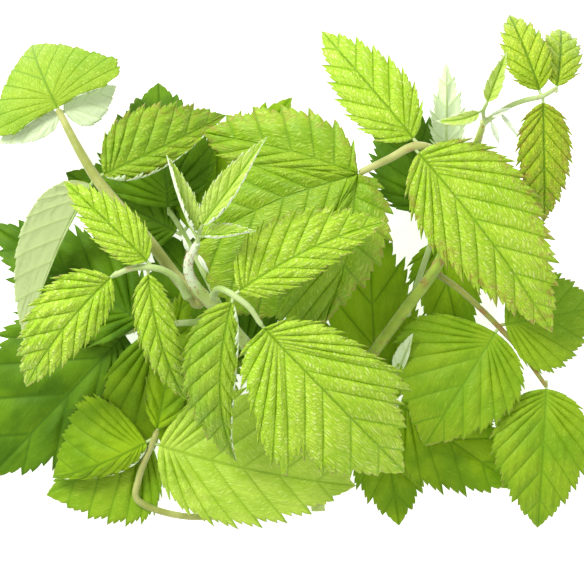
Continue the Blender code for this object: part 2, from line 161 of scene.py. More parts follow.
def map_range(tree, value, low, high, to_low=0.0, to_high=1.0):
    """The value, moved from one range to another, with soft ends."""
    node = tree.nodes.new("ShaderNodeMapRange")
    node.interpolation_type = "SMOOTHSTEP"
    tree.links.new(value, node.inputs[0])
    for i, number in enumerate((low, high, to_low, to_high)):
        node.inputs[i + 1].default_value = number
    return node.outputs[0]


def times(tree, first, second):
    """The product of two values."""
    return wire(tree, "Math", first, second, operation="MULTIPLY").outputs[0]


def stem_finish(name, green, pale, blush, blush_share, downy_above=1.0):
    """Green bark with pale streaks, a patchy reddish blush, and white down above this height."""
    finish, tree, shader = new_finish(name, 0.5)
    place = wire(tree, "TexCoord").outputs["Object"]
    broad = wire(tree, "TexNoise", place, None, 90.0, 3.0).outputs[0]
    fine = wire(tree, "TexNoise", place, None, 1100.0, 4.0).outputs[0]
    colour = blend_colour(tree, map_range(tree, broad, 0.35, 0.65), green, pale)
    colour = blend_colour(tree, map_range(tree, fine, 0.5, 0.75, 0, 0.45), colour, pale)
    patches = wire(tree, "TexNoise", place, None, 160.0, 4.0).outputs[0]
    reddened = map_range(tree, patches, 0.62 - blush_share, 0.8 - blush_share)
    colour = blend_colour(tree, reddened, colour, blush)
    down = map_range(tree, wire(tree, "SeparateXYZ", place).outputs[2], downy_above, downy_above + 0.006)
    colour = blend_colour(tree, down, colour, (0.66, 0.76, 0.5, 1))
    tree.links.new(colour, shader.inputs["Base Color"])
    bump = wire(tree, "Bump", 0.35, 0.0002)
    tree.links.new(fine, bump.inputs["Height"])
    tree.links.new(bump.outputs[0], shader.inputs["Normal"])
    shader.inputs["Sheen Weight"].default_value = 0.25
    return finish


def finished(piece, slot, *nodes):
    """Rides the piece on the branch, and hides the solids that it stands for. The slot is not used."""
    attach(piece, "root")
    if nodes:
        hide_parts(*nodes)
    return piece


cane = round_stem("main_cane", CANE_ROUTE, CANE_RADII, 24, 10, cut=True)
cane.data.materials.append(stem_finish(
    "cane bark", (0.40, 0.55, 0.10, 1), (0.56, 0.68, 0.22, 1), (0.42, 0.24, 0.09, 1), 0.0, 0.052))
finished(cane, "cane", "cane")

# The side shoot leaves the main cane near its cut end. It carries the big leaf, the bud leaf, the
# right leaf and the top leaf, and its bark is a deeper green.
SIDE_ROUTE = (
    (10.6, -59.5, 4.6), (12.8, -56.8, 5.7), (22, -42, 11), (33, -25, 16), (46, -7, 21), (59, 11, 26),
    (67, 32, 31), (72, 52, 36), (75, 62, 40), (77, 68.5, 44),
)
SIDE_RADII = (2.6, 2.5, 2.4, 2.3, 2.3, 2.2, 2.0, 1.8, 1.4, 1.0)
side_cane = round_stem("side_shoot", SIDE_ROUTE, SIDE_RADII, 22, 10)
side_cane.data.materials.append(stem_finish(
    "side shoot bark", (0.20, 0.34, 0.012, 1), (0.34, 0.46, 0.035, 1), (0.30, 0.20, 0.03, 1), 0.06))
finished(side_cane, "cane", "side_cane")

# The left leaf hangs over to the left of the shoot tip. A raspberry leaf has a stalk with one
# leaflet at its end and a pair at its joint. Each blade is pleated along its side veins, and it
# is doubly toothed, with a large tooth at the end of each vein and smaller ones between.
VEIN_SPREAD = 37  # degrees between the midrib and a side vein
BASE_ROUND = 0.55  # how full an outline is at its base
TIP_TAPER = 1.05  # how fast it narrows to its tip
WIDEST = BASE_ROUND / (BASE_ROUND + TIP_TAPER)
ROWS_A_VEIN = 12
BLADE_THICK = 0.0004
TOOTH_DEPTHS = (0.44, 0.22)  # large and small teeth, as shares of the gap between veins
PLEAT_DEPTH = 0.17  # a share of the same gap
CURL_TURN = 2.7  # radians through which a curled margin turns
TABLE_GAP = 0.25  # the least height of a blade's middle over the table

stalk_finish = stem_finish(
    "leaf stalk", (0.28, 0.42, 0.08, 1), (0.46, 0.58, 0.22, 1), (0.36, 0.24, 0.08, 1), 0.03)


def blade_finish(name, skin, glow, painted_highlight, vein, rim, roughness, quilt=1.0, gloss=0.35):
    """The upper side of a blade: quilted between the veins, with painted highlights on the quilted panels,
    darker in the veins (their own deeper green with painted shade in the sunken valleys), and tan at the
    teeth.
    """
    finish, tree, shader = new_finish(name, roughness)
    split = wire(tree, "SeparateXYZ", wire(tree, "UVMap", uv_map="veins").outputs[0])
    across, phase = wire(tree, "Math", split.outputs[0], operation="ABSOLUTE").outputs[0], split.outputs[1]
    to_vein = wire(tree, "Math", phase, 0.5, operation="PINGPONG").outputs[0]
    on_vein = map_range(tree, to_vein, 0.005, 0.075, 1, 0)
    part = wire(tree, "Math", phase, operation="FRACT").outputs[0]
    gap = wire(tree, "Attribute", attribute_name="gap").outputs["Fac"]
    rung = wire(tree, "Math", across, times(tree, times(tree, part, gap), 0.6), operation="ADD").outputs[0]
    bow = times(tree, times(tree, to_vein, to_vein), -5.0)
    rung = wire(tree, "Math", rung, bow, operation="ADD").outputs[0]
    rib = wire(tree, "Attribute", attribute_name="rib").outputs["Fac"]
    on_rib = map_range(tree, rib, 0.15, 0.8, 1, 0)
    veins = wire(tree, "Math", on_vein, on_rib, operation="MAXIMUM").outputs[0]
    edge = wire(tree, "Attribute", attribute_name="edge").outputs["Fac"]
    blush = wire(tree, "Attribute", attribute_name="blush").outputs["Fac"]
    place = wire(tree, "TexCoord").outputs["Object"]
    stretched = wire(tree, "CombineXYZ", times(tree, rung, 0.85), times(tree, phase, 2.5), 0.0).outputs[0]
    wobble = wire(tree, "TexNoise", place, None, 200.0, 2.0).outputs["Color"]
    bent = wire(tree, "VectorMath", wobble, (0.55, 0.55, 0), stretched, operation="MULTIPLY_ADD").outputs[0]
    net = wire(tree, "TexVoronoi", bent, None, 1.0, feature="DISTANCE_TO_EDGE").outputs[0]
    mesh = wire(tree, "TexVoronoi", bent, None, 2.3, feature="DISTANCE_TO_EDGE").outputs[0]
    broad = wire(tree, "TexNoise", place, None, 50.0, 3.0).outputs[0]
    spots = wire(tree, "TexNoise", place, None, 420.0, 4.0).outputs[0]
    colour = blend_colour(tree, map_range(tree, broad, 0.35, 0.65), skin, glow)
    # Painted highlights: pale spots lighten the middles of the quilted panels towards the highlight colour.
    highlight_share = times(tree, map_range(tree, net, 0.1, 0.45), map_range(tree, spots, 0.28, 0.6))
    colour = blend_colour(tree, times(tree, highlight_share, 0.68 * quilt), colour, painted_highlight)
    # The side veins, the midrib and the fine net of small veins are darkened towards the vein colour: partly
    # their own deeper green, partly painted shade in their sunken valleys.
    colour = blend_colour(tree, map_range(tree, mesh, 0.0, 0.16, 0.2 * quilt, 0), colour, vein)
    colour = blend_colour(tree, map_range(tree, net, 0.0, 0.16, 0.55 * quilt, 0), colour, vein)
    colour = blend_colour(tree, times(tree, veins, 0.72), colour, vein)
    near_edge = map_range(tree, edge, 0.0, 8.0, 1, 0)
    tinged = times(tree, times(tree, near_edge, map_range(tree, spots, 0.42, 0.68)), blush)
    colour = blend_colour(tree, tinged, colour, (0.34, 0.17, 0.04, 1))
    tips = times(tree, map_range(tree, edge, 0.05, 0.5, 0.8, 0), map_range(tree, spots, 0.42, 0.62))
    colour = blend_colour(tree, tips, colour, rim)
    tree.links.new(colour, shader.inputs["Base Color"])
    height = wire(tree, "Math", map_range(tree, net, 0.0, 0.42), map_range(tree, mesh, 0.0, 0.3, 0, 0.35),
                  operation="ADD").outputs[0]
    height = wire(tree, "Math", height, times(tree, veins, -0.9), operation="ADD").outputs[0]
    bump = wire(tree, "Bump", 0.8 * quilt, 0.0004)
    tree.links.new(height, bump.inputs["Height"])
    tree.links.new(bump.outputs[0], shader.inputs["Normal"])
    shader.inputs["Specular IOR Level"].default_value = gloss
    return finish


def underside_finish(name, felt, vein):
    """The lower side of a blade: pale, matte and felted, with greener veins that stand proud."""
    finish, tree, shader = new_finish(name, 0.85)
    split = wire(tree, "SeparateXYZ", wire(tree, "UVMap", uv_map="veins").outputs[0])
    to_vein = wire(tree, "Math", split.outputs[1], 0.5, operation="PINGPONG").outputs[0]
    on_vein = map_range(tree, to_vein, 0.02, 0.1, 1, 0)
    place = wire(tree, "TexCoord").outputs["Object"]
    fine = wire(tree, "TexNoise", place, None, 900.0, 5.0).outputs[0]
    colour = blend_colour(tree, map_range(tree, fine, 0.3, 0.7, 0, 0.3), felt, vein)
    colour = blend_colour(tree, times(tree, on_vein, 0.6), colour, vein)
    tree.links.new(colour, shader.inputs["Base Color"])
    height = wire(tree, "Math", on_vein, fine, operation="ADD").outputs[0]
    bump = wire(tree, "Bump", 0.4, 0.0002)
    tree.links.new(height, bump.inputs["Height"])
    tree.links.new(bump.outputs[0], shader.inputs["Normal"])
    shader.inputs["Sheen Weight"].default_value = 0.3
    return finish


# Each top skin lists its leaf green, a second tone mixed in at random, the pale colour of its painted
# highlights, its vein colour (partly painted shade) and its tooth colour.
LEAF_SKINS = (
    blade_finish("leaf top", (0.42, 0.65, 0.02, 1), (0.51, 0.72, 0.04, 1), (0.78, 0.88, 0.34, 1),
                 (0.20, 0.42, 0.003, 1), (0.48, 0.40, 0.12, 1), 0.4),
    underside_finish("leaf underside", (0.60, 0.71, 0.44, 1), (0.44, 0.58, 0.22, 1)),
)


class Leaf:
    """A leaf's stalk, and the places where its leaflets leave it."""

    def __init__(self, name, route, radii, joint, finish=stalk_finish):
        self.route = [Vector(p) for p in route]
        self.radius = radii[0] + (radii[1] - radii[0]) * joint / (len(route) - 1)
        self.joint = self.route[joint]
        self.ahead = (self.route[joint + 1] - self.route[joint - 1]).normalized()
        root = self.route[0] + (self.route[0] - self.route[1]).normalized() * 2.2
        piece = round_stem(f"{name}_stem", (root, *route), (radii[0] * 1.5, radii[0], *radii), 14, 8)
        piece.data.materials.append(finish)
        finished(piece, "stalk", f"{name}_stalk")

    def end_base(self):
        return self.route[-1] + (self.route[-1] - self.route[-2]).normalized() * 0.7

    def side_base(self, tip):
        outward = Vector(tip) - self.joint
        outward -= self.ahead * outward.dot(self.ahead)
        outward = outward.normalized() + Vector((0, 0, 0.4))
        outward = (outward - self.ahead * outward.dot(self.ahead)).normalized()
        return self.joint + outward * (self.radius + 0.7)

    def add_end(self, name, tip, *shape, **details):
        leaflet(self.end_base(), name, tip, *shape, **details)

    def add_side(self, name, tip, *shape, **details):
        leaflet(self.side_base(tip), name, tip, *shape, **details)


def unit(vectors):
    return vectors / np.linalg.norm(vectors, axis=1)[:, None]


def chart_blade(piece, across, phase, **attributes):
    """Gives a blade its chart of veins and the attributes that its finish reads."""
    chart = piece.data.uv_layers.new(name="veins")
    corners = np.empty(len(piece.data.loops), int)
    piece.data.loops.foreach_get("vertex_index", corners)
    chart.data.foreach_set("uv", np.stack((across, phase), axis=1)[corners].ravel())
    piece.data.uv_layers.remove(piece.data.uv_layers["UVMap"])
    for name, values in attributes.items():
        set_attribute(piece, name, np.zeros(len(phase)) + values)


def add_wall(piece, skins):
    """Gives a blade its two skins and its thickness."""
    for skin in skins:
        piece.data.materials.append(skin)
    wall = piece.modifiers.new("wall", "SOLIDIFY")
    wall.thickness = BLADE_THICK
    wall.offset = 0
    wall.material_offset = 1
    bpy.ops.object.modifier_apply(modifier="wall")


def leaflet(start, name, tip, left, right, veins=8, rise=4.0, sway=0.0, roll=0.0, fold=8.0, droop=0.14,
            margins=None, columns=14, skins=LEAF_SKINS, slot="leaf", blush=0.0, curl=(0, 0), solid=True,
            crisp=1.0, spread=VEIN_SPREAD):
    """One blade from its place on the stalk to its tip, with its own short stalk and its midrib."""
    chord = Vector(tip) - start
    length = chord.length
    ahead = chord.normalized()
    side = Matrix.Rotation(math.radians(roll), 3, ahead) @ Vector((0, 0, 1)).cross(ahead).normalized()
    shape = np.array(ahead.cross(side) * rise + side * sway)
    start, chord, side = np.array(start), np.array(chord), np.array(side)
    own_stalk = 1.1 / length
    spacing = length / veins
    rows = veins * ROWS_A_VEIN
    t = np.linspace(0, 1, rows + 1)

    reach, half = np.empty((2, rows + 1)), np.empty((2, rows + 1))
    for hand, widest in ((0, left), (1, right)):
        if margins:
            stretch = Vector(tip).length
            edge = np.array(((0, 0.6), *margins[hand], (1, 0))) * (stretch, 1)
            steps = np.concatenate(((0,), np.cumsum(np.linalg.norm(np.diff(edge, axis=0), axis=1))))
            reach[hand] = np.interp(t * steps[-1], steps, edge[:, 0]) / stretch
            half[hand] = np.interp(t * steps[-1], steps, edge[:, 1])
            half[hand] *= np.minimum(1, t * 40)
        else:
            reach[hand] = t
            half[hand] = widest * (t / WIDEST) ** BASE_ROUND * ((1 - t) / (1 - WIDEST)) ** TIP_TAPER
    slant = (reach - half / math.tan(math.radians(spread)) / length).mean(axis=0)
    foot = np.maximum(0.10 * t, slant)
    for i in range(1, rows + 1):
        foot[i] = min(1, max(foot[i], foot[i - 1] + 0.2 / rows))

    piece, across, row = new_grid(f"{name}_blade", 2 * columns, rows)
    hand = (across > 0).astype(int)
    share = np.abs(across)
    phase = t[row] * veins
    part = phase % 1
    taper = np.minimum(1, 4 * (1 - t[row]))
    vein_length = np.hypot((reach[hand, row] - foot[row]) * length, half[hand, row]) + 0.01
    big_tooth = np.where(part > 0.1, part, 1 - part * 10)
    third = (phase * 3) % 1
    small_tooth = np.where(third > 0.25, third, 1 - third * 4)
    tooth = TOOTH_DEPTHS[0] * (big_tooth - 0.5) + TOOTH_DEPTHS[1] * (small_tooth - 0.5)
    tooth = tooth * spacing * taper * crisp
    outer = np.clip((share - 0.8) / 0.2, 0, 1)
    reached = share + np.minimum(tooth / vein_length, 0.5) * outer
    along = foot[row] + (reach[hand, row] - foot[row]) * reached**1.03
    width = half[hand, row] * reached
    full = np.where(hand == 0, max(1, left), max(1, right))
    ridge = np.sin(np.pi * part) ** 0.8
    swell = np.minimum(1, share * 3.3) * (1 - 0.55 * np.clip((share - 0.55) / 0.45, 0, 1))
    distance = vein_length * share
    jitter = np.array([noise.noise(Vector((d * 0.35, p * 0.9 + h * 7.3, length)))
                       for d, p, h in zip(distance, phase, hand)])
    ladder = np.sin(distance * 2 * np.pi / 2.0 + 5 * jitter) * ridge * (0.15 if columns > 18 else 0)
    relief = PLEAT_DEPTH * spacing * taper * ridge * swell * (1 + 0.4 * jitter) * crisp
    relief += ladder * np.minimum(1, share * 4)
    lift = width * math.sin(math.radians(fold)) - droop * width**2 / full + relief
    lift += 0.5 * jitter * share
    rolled = np.minimum(np.array(curl)[hand], half[hand, row] * 0.5) + 1e-6
    past = np.maximum(0, width - half[hand, row] + rolled) * (rolled > 0.01)
    turned = past / rolled * CURL_TURN
    width = width - past + rolled / CURL_TURN * np.sin(turned)
    lift += rolled / CURL_TURN * (1 - np.cos(turned)) * (rolled > 0.01)

    a = own_stalk + along * (1 - own_stalk)
    line = unit(chord + shape * (4 * (1 - 2 * a))[:, None])
    out = unit(side - line * (line @ side)[:, None])
    over = np.cross(line, out)
    points = start + chord * a[:, None] + shape * (4 * a * (1 - a))[:, None]
    points += out * (np.where(hand == 0, 1, -1) * width * math.cos(math.radians(fold)))[:, None]
    points += over * lift[:, None]
    points[:, 2] = np.maximum(points[:, 2], TABLE_GAP)

    chart_blade(piece, distance * np.where(hand == 0, 1, -1), phase + 20 * hand, rib=width,
                edge=(1 - share) * half[hand, row], blush=blush, gap=spacing)
    set_points(piece, points)
    add_wall(piece, skins)

    rib_line = []
    for s in np.linspace(-0.03, 0.94, 9):
        lean = unit((chord + shape * 4 * (1 - 2 * s))[None])[0]
        sideways = unit((side - lean * (lean @ side))[None])[0]
        below = np.cross(lean, sideways) * (-0.85 * (1 - s) if s > 0.02 else -0.2)
        rib_line.append(tuple(start + chord * s + shape * 4 * s * (1 - s) + below))
    girths = np.array((0.7, 0.6, 0.5, 0.4, 0.32, 0.24, 0.16, 0.1)) * min(1, length / 25)
    rib = round_stem(f"{name}_rib", rib_line, girths, 8, 4)
    rib.data.materials.append(stalk_finish)
    piece.select_set(True)
    bpy.context.view_layer.objects.active = piece
    bpy.ops.object.join()
    return finished(piece, slot, f"{name}_leaflet") if solid else finished(piece, slot)


left_leaf = Leaf(
    "left_leaf",
    ((-42.7, 0.1, 52.2), (-45.5, 5, 56.5), (-51, 8.6, 59), (-57, 9.8, 60), (-64, 9.2, 60),
     (-70.5, 6.6, 58.5)),
    (1.35, 1.0), 3,
)
left_leaf.add_end("left_end", (-107, -38.2, 34), 11, 16, veins=9, rise=7, sway=-3, roll=-6,
        droop=0.2, columns=30, crisp=1.25, spread=34)
left_leaf.add_side("left_upper", (-90.6, 44, 56), 9.0, 10.0, veins=9, rise=4,
        roll=6, fold=12, columns=22, crisp=1.2, spread=32)
left_leaf.add_side("left_lower", (-42, -43.6, 36), 7.6, 8.4, veins=9, rise=7,
        sway=-3, droop=0.3, columns=20, crisp=1.2, spread=30)

# The front leaf is the sharpest: its end leaflet covers the middle of the branch. Its sides are
# cut into a shoulder on each side, so its margin follows its own points.
front_leaf = Leaf(
    "front_leaf",
    ((-31.2, -1.2, 50.5), (-29.5, 1.2, 56), (-26.5, 0.6, 60), (-22.6, -1.6, 61.5), (-17, -6, 62),
     (-12.3, -12.8, 60.5)),
    (1.3, 0.95), 3,
)
FRONT_MARGINS = (
    ((0.05, 10), (0.17, 18), (0.31, 21.5), (0.43, 23.5), (0.58, 26.5), (0.70, 24.5), (0.655, 18.5),
     (0.75, 16.5), (0.85, 8.5)),
    ((0.0, 10), (0.05, 17), (0.13, 21.5), (0.29, 28.5), (0.38, 33), (0.575, 35), (0.53, 23),
     (0.70, 23), (0.84, 12)),
)
MIDDLE_SKINS = (
    blade_finish("middle leaf top", (0.24, 0.42, 0.008, 1), (0.34, 0.51, 0.018, 1), (0.50, 0.66, 0.12, 1),
                 (0.14, 0.31, 0.002, 1), (0.40, 0.32, 0.08, 1), 0.42, 0.8),
    LEAF_SKINS[1],
)
front_leaf.add_end("front_end", (45.2, -72.6, 36), 26, 33, veins=11, rise=8, fold=3, droop=0.16,
        margins=FRONT_MARGINS, columns=48, crisp=1.3)
front_leaf.add_side("front_upper", (38.0, 28, 50), 17, 10.5, veins=10, rise=5,
        sway=3, roll=-3, fold=8, columns=32, crisp=1.25, spread=36)
front_leaf.add_side("front_lower", (-22.4, -68, 33), 7.5, 15, veins=10, rise=9,
        sway=-5, roll=4, droop=0.25, columns=30, curl=(1.6, 0), skins=MIDDLE_SKINS, crisp=1.2)

# The rear leaf lies behind the left leaf on a long stalk that crosses the cane. Its lower leaflet
# is turned over, and its end leaflet's lower margins are turned up, so pale undersides show.
tan_finish = stem_finish(
    "tan leaf stalk", (0.27, 0.31, 0.045, 1), (0.42, 0.44, 0.12, 1), (0.36, 0.24, 0.07, 1), 0.05)
rear_leaf = Leaf(
    "rear_leaf",
    ((-39.2, -1.8, 45.6), (-47, 7, 44.5), (-57.6, 21, 44), (-69, 34, 43), (-78.4, 45.4, 41), (-86, 58, 40),
     (-93.6, 72.5, 37)),
    (2.3, 1.4), 4, tan_finish,
)
REAR_MARGINS = (
    ((0.0, 6), (0.0, 13), (-0.02, 20), (0.05, 27), (0.28, 25), (0.6, 15)),
    ((0.0, 5), (0.0, 12), (-0.03, 20), (0.02, 28), (0.2, 30), (0.5, 19)),
)
TURNED_SKINS = (
    LEAF_SKINS[0],
    underside_finish("turned leaf underside", (0.45, 0.55, 0.23, 1), (0.38, 0.49, 0.16, 1)),
)
rear_leaf.add_end("rear_end", (-106, 101, 12), 26, 20, veins=8, rise=5, roll=-8, fold=2,
        margins=REAR_MARGINS, columns=24, skins=MIDDLE_SKINS, crisp=0.5)
for name, root, tip, left, right in (
    ("rear_turn_left", (-93.2, 71.4, 34), (-119, 60.0, 27), 5.5, 8.0),
    ("rear_turn_right", (-92.6, 72.4, 34), (-71, 83.5, 27), 6.0, 10.0),
):
    leaflet(Vector(root), name, tip, left, right, veins=6, rise=0.5, fold=0, droop=0.02, columns=10,
            skins=(LEAF_SKINS[1], LEAF_SKINS[1]), solid=False, crisp=0.4)
rear_leaf.add_side("rear_upper", (-27, 72, 16), 18, 9.5, veins=9, rise=4, roll=8,
        fold=4, columns=28, curl=(0, 2.4), skins=MIDDLE_SKINS, blush=0.4)
leaflet(rear_leaf.side_base((-107, -17.6, 18)), "rear_lower", (-108.5, -22, 18), 17, 10, veins=9, rise=4,
        roll=132, fold=48, droop=0.05, columns=20, skins=TURNED_SKINS, crisp=0.25)

# The big leaf grows from the side shoot. Its end leaflet is divided into three lobes that share
# their inner margins, and its lower leaflet has a reddish blush near its teeth.
big_leaf = Leaf(
    "big_leaf",
    ((68.6, 51.2, 34.6), (60, 56, 37.5), (49.6, 58.6, 42), (39, 53.4, 43), (28.0, 48.2, 42)),
    (1.7, 1.4), 2, tan_finish,
)
big_leaf.add_side("big_upper", (12, 106, 20), 14, 14, veins=8, rise=6, fold=8,
        columns=24)
big_leaf.add_side("big_lower", (105.4, -16.4, 25), 26, 20, veins=11, rise=6,
        sway=1.9, fold=5, droop=0.16, columns=44, blush=0.6, crisp=1.15, spread=35)
LOBE_TIPS = ((-62, 17), (-66, -28), (-13, -60))
LOBE_BENDS = ((-26, 9), (-33, -11), (-4, -32))
LOBE_HALVES = (
    (0, False, ((0.2, 0.6), (-1.5, 11), (-7.5, 19), (-21, 25.5), (-38, 26), (-52, 23), (-62, 17))),
    (0, True, ((0, 0), (-48, 4), (-54, 7), (-58, 11), (-62, 17))),
    (1, True, ((0, 0), (-48, 4), (-55, -4), (-62, -15), (-66, -28))),
    (1, True, ((0, 0), (-33, -57), (-47, -57), (-58, -48), (-66, -28))),
    (2, True, ((0, 0), (-33, -57), (-26, -61), (-19, -63), (-13, -60))),
    (2, False, ((0.5, -0.4), (7, -2), (12.5, -13), (12.5, -26), (6.5, -39), (-3, -49), (-13, -60))),
)
LOBE_VEINS = 7
LOBE_GAP = 7.0
LOBE_TEETH = (3.3, 1.4)


def share_along(line, shares):
    """Points at these shares of a line's length."""
    line = np.array(line, float)
    steps = np.concatenate(((0,), np.cumsum(np.linalg.norm(np.diff(line, axis=0), axis=1))))
    return np.stack([np.interp(shares * steps[-1], steps, line[:, i]) for i in (0, 1)], axis=1)


def lobed_leaflet(base, name, columns, skins, blush):
    """The three-lobed blade, made as six halves on three midribs that meet at its base."""
    rows = LOBE_VEINS * ROWS_A_VEIN
    halves = []
    for number, (lobe, joined, edge) in enumerate(LOBE_HALVES):
        t = np.linspace(0, 1, rows + 1)
        midline = smooth_route(((0, 0, 0), (*LOBE_BENDS[lobe], 0), (*LOBE_TIPS[lobe], 0)), 8)
        foot = share_along([p.to_2d() for p in midline], t**1.5)
        if joined:
            inner = np.outer(np.minimum(t * 2, 1), edge[1])
            reach = np.where(t[:, None] <= 0.5, inner, share_along(edge[1:], np.maximum(t * 2 - 1, 0)))
        else:
            reach = share_along(edge, t)
            reach[0] = foot[0]
        piece, across, row = new_grid(f"{name}_half_{number}", columns, rows)
        share = (across + 1) / 2 if number % 2 else (1 - across) / 2
        phase = t[row] * LOBE_VEINS
        part = phase % 1
        shared = joined & (t[row] <= 0.5)
        vein = reach[row] - foot[row]
        vein_length = np.linalg.norm(vein, axis=1) + 0.01
        third = (phase * 3) % 1
        tooth = LOBE_TEETH[0] * (np.where(part > 0.1, part, 1 - part * 10) - 0.5)
        tooth += LOBE_TEETH[1] * (np.where(third > 0.25, third, 1 - third * 4) - 0.5)
        tooth *= np.clip((share - 0.8) / 0.2, 0, 1) * ~shared * np.minimum(1, 4 * (1 - t[row]))
        reached = share + tooth / vein_length * (vein_length > 1)
        plan = foot[row] + vein * reached[:, None]
        away = np.linalg.norm(plan, axis=1)
        distance = vein_length * share
        jitter = np.array([noise.noise(Vector((d * 0.3, p * 0.9, number * 3.1)))
                           for d, p in zip(distance, phase)])
        ridge = np.sin(np.pi * part) ** 0.8
        swell = np.minimum(1, share * 3) * np.where(shared, np.minimum(1, (1 - share) * 3),
                                                    1 - 0.5 * np.clip((share - 0.5) / 0.5, 0, 1))
        bowed = np.where(shared, 1.1 * np.minimum(1, share * 2), 1.1 * (1 - np.abs(2 * share - 1)))
        height = 0.05 * away - 0.0042 * away**2
        height += bowed * np.minimum(1, 4 * (1 - t[row])) * np.minimum(1, t[row] * 8)
        height += ridge * swell * (1.5 + 0.6 * jitter)
        height += 0.14 * np.sin(distance * 2 * np.pi / 2.2 + 5 * jitter) * ridge * np.minimum(1, share * 4)
        chart_blade(piece, distance, phase + 20 * number, rib=distance,
                    edge=np.where(shared, 9, (1 - share) * vein_length), blush=blush, gap=LOBE_GAP)
        set_points(piece, np.array(base) + np.column_stack((plan, height)))
        halves.append(piece)
    for half in halves:
        half.select_set(True)
    whole = halves[0]
    bpy.context.view_layer.objects.active = whole
    bpy.ops.object.join()
    bpy.ops.object.mode_set(mode="EDIT")
    bpy.ops.mesh.select_all(action="SELECT")
    bpy.ops.mesh.remove_doubles(threshold=0.00002)
    bpy.ops.mesh.normals_make_consistent(inside=False)
    bpy.ops.object.mode_set(mode="OBJECT")
    whole.name = whole.data.name = f"{name}_blade"
    add_wall(whole, skins)
    return whole


big_end = lobed_leaflet(big_leaf.end_base() - Vector((1.0, 0.45, 0)) * 1.1, "big_end", 36, MIDDLE_SKINS, 0.45)
finished(big_end, "leaf", "big_end_leaflet")

# The top leaf hangs beyond the end of the side shoot. Its lower leaflet is thin-skinned, and its
# veins are dark.
top_leaf = Leaf(
    "top_leaf",
    ((78.4, 68.9, 44.1), (86.5, 74, 49), (93, 76.5, 50), (99.6, 78, 50), (105, 81, 49)),
    (1.1, 0.9), 3,
)
THIN_SKINS = (
    blade_finish("thin leaf top", (0.38, 0.55, 0.010, 1), (0.48, 0.62, 0.018, 1), (0.68, 0.76, 0.10, 1),
                 (0.12, 0.30, 0.001, 1), (0.42, 0.26, 0.06, 1), 0.42),
    LEAF_SKINS[1],
)
top_leaf.add_end("top_end", (109.5, 107, 14), 8.5, 8.5, veins=7, rise=5, fold=8, skins=THIN_SKINS)
top_leaf.add_side("top_upper", (88, 112, 26), 9, 9, veins=7, rise=6, fold=8,
        skins=THIN_SKINS)
top_leaf.add_side("top_lower", (102.2, 28.6, 22), 10.8, 10.8, veins=9, rise=5,
        fold=8, columns=24, skins=THIN_SKINS, blush=0.6)

# The bud leaf is the youngest on the side shoot. Its two small leaflets are still half folded, and
# a curled bud and two slender stipules stand beside it.
YOUNG_SKINS = (
    blade_finish("young leaf top", (0.50, 0.68, 0.08, 1), (0.58, 0.75, 0.16, 1), (0.76, 0.86, 0.44, 1),
                 (0.28, 0.50, 0.02, 1), (0.66, 0.72, 0.50, 1), 0.5, 0.6),
    underside_finish("young leaf down", (0.72, 0.80, 0.60, 1), (0.58, 0.70, 0.42, 1)),
)
bud_leaf = Leaf("bud_leaf", ((76.7, 69.4, 44.9), (76.4, 72.4, 49.4), (77.4, 74.8, 52)), (0.8, 0.7), 1)
bud_leaf.add_end("bud_upper", (85, 95, 62), 4, 4, veins=5, rise=0, fold=35, droop=0.0,
        skins=YOUNG_SKINS, slot="young_leaf", crisp=0.5)
bud_leaf.add_side("bud_left", (57.2, 68, 53), 2.8, 2.8, veins=6, rise=2, sway=1.5,
        fold=30, droop=0.0, skins=YOUNG_SKINS, slot="young_leaf", crisp=0.5)
for name, root, tip, half_width, fold in (
    ("bud_curl", (79.5, 70.2, 46), (87.5, 73.5, 50), 2.3, 60),
    ("bud_stipule_near", (79.6, 68.6, 44.2), (83.0, 59.4, 42), 1.3, 25),
    ("bud_stipule_far", (83.2, 71.6, 46.4), (90.4, 62.2, 45), 1.1, 25),
):
    leaflet(Vector(root), name, tip, half_width, half_width, veins=2, rise=1.2, fold=fold, droop=0.0,
            columns=6, skins=(YOUNG_SKINS[1], YOUNG_SKINS[1]), slot="young_leaf", solid=False, crisp=0.1)

# A pale leaf hangs behind the side shoot, turned over, so only its felted underside shows.
pale_leaf = Leaf("pale_leaf", ((67.4, 45, 33.0), (64.5, 50, 31), (62.5, 55, 29)), (1.1, 0.9), 1)
pale_leaf.add_end("pale_end", (63, 94, 10), 7, 7, veins=6, rise=2, roll=170, fold=20, droop=0.05)

# The tip leaf stands at the end of the main cane. It has just opened, so its leaflets are folded
# along their midribs, and white down covers their outer sides.
tip_leaf = Leaf("tip_leaf", ((-37.3, 19.9, 65.1), (-36.7, 22.8, 67.2), (-35.9, 25.2, 69)), (0.9, 0.8), 1)
tip_leaf.add_end("tip_end", (-9.8, 60.6, 84), 6.8, 6.2, veins=8, rise=-1, roll=-14, fold=34,
        droop=0.0, columns=20, skins=YOUNG_SKINS, slot="young_leaf", crisp=0.8, curl=(0, 1.1), spread=22)
tip_leaf.add_side("tip_left", (-49, 53.6, 78), 6, 6, veins=7, rise=-2, roll=34,
        fold=52, droop=0.0, columns=20, skins=YOUNG_SKINS, slot="young_leaf", crisp=0.8,
        curl=(1.1, 0), spread=18)
tip_leaf.add_side("tip_right", (-14.2, 24, 74), 5, 5, veins=7, rise=-1, roll=-24,
        fold=50, droop=0.0, columns=20, skins=YOUNG_SKINS, slot="young_leaf", crisp=0.8,
        curl=(0, 1.0), spread=18)
for name, root, tip, half_width in (
    ("tip_stipule_right", (-37.6, 15.5, 62), (-33.0, 7.6, 59.5), 1.1),
    ("tip_stipule_left", (-40.8, 15.5, 61.5), (-43.5, 22.5, 64), 1.0),
):
    leaflet(Vector(root), name, tip, half_width, half_width, veins=2, rise=1.5, fold=40, droop=0.0, columns=6,
            skins=(YOUNG_SKINS[1], YOUNG_SKINS[1]), slot="young_leaf", solid=False, crisp=0.1)

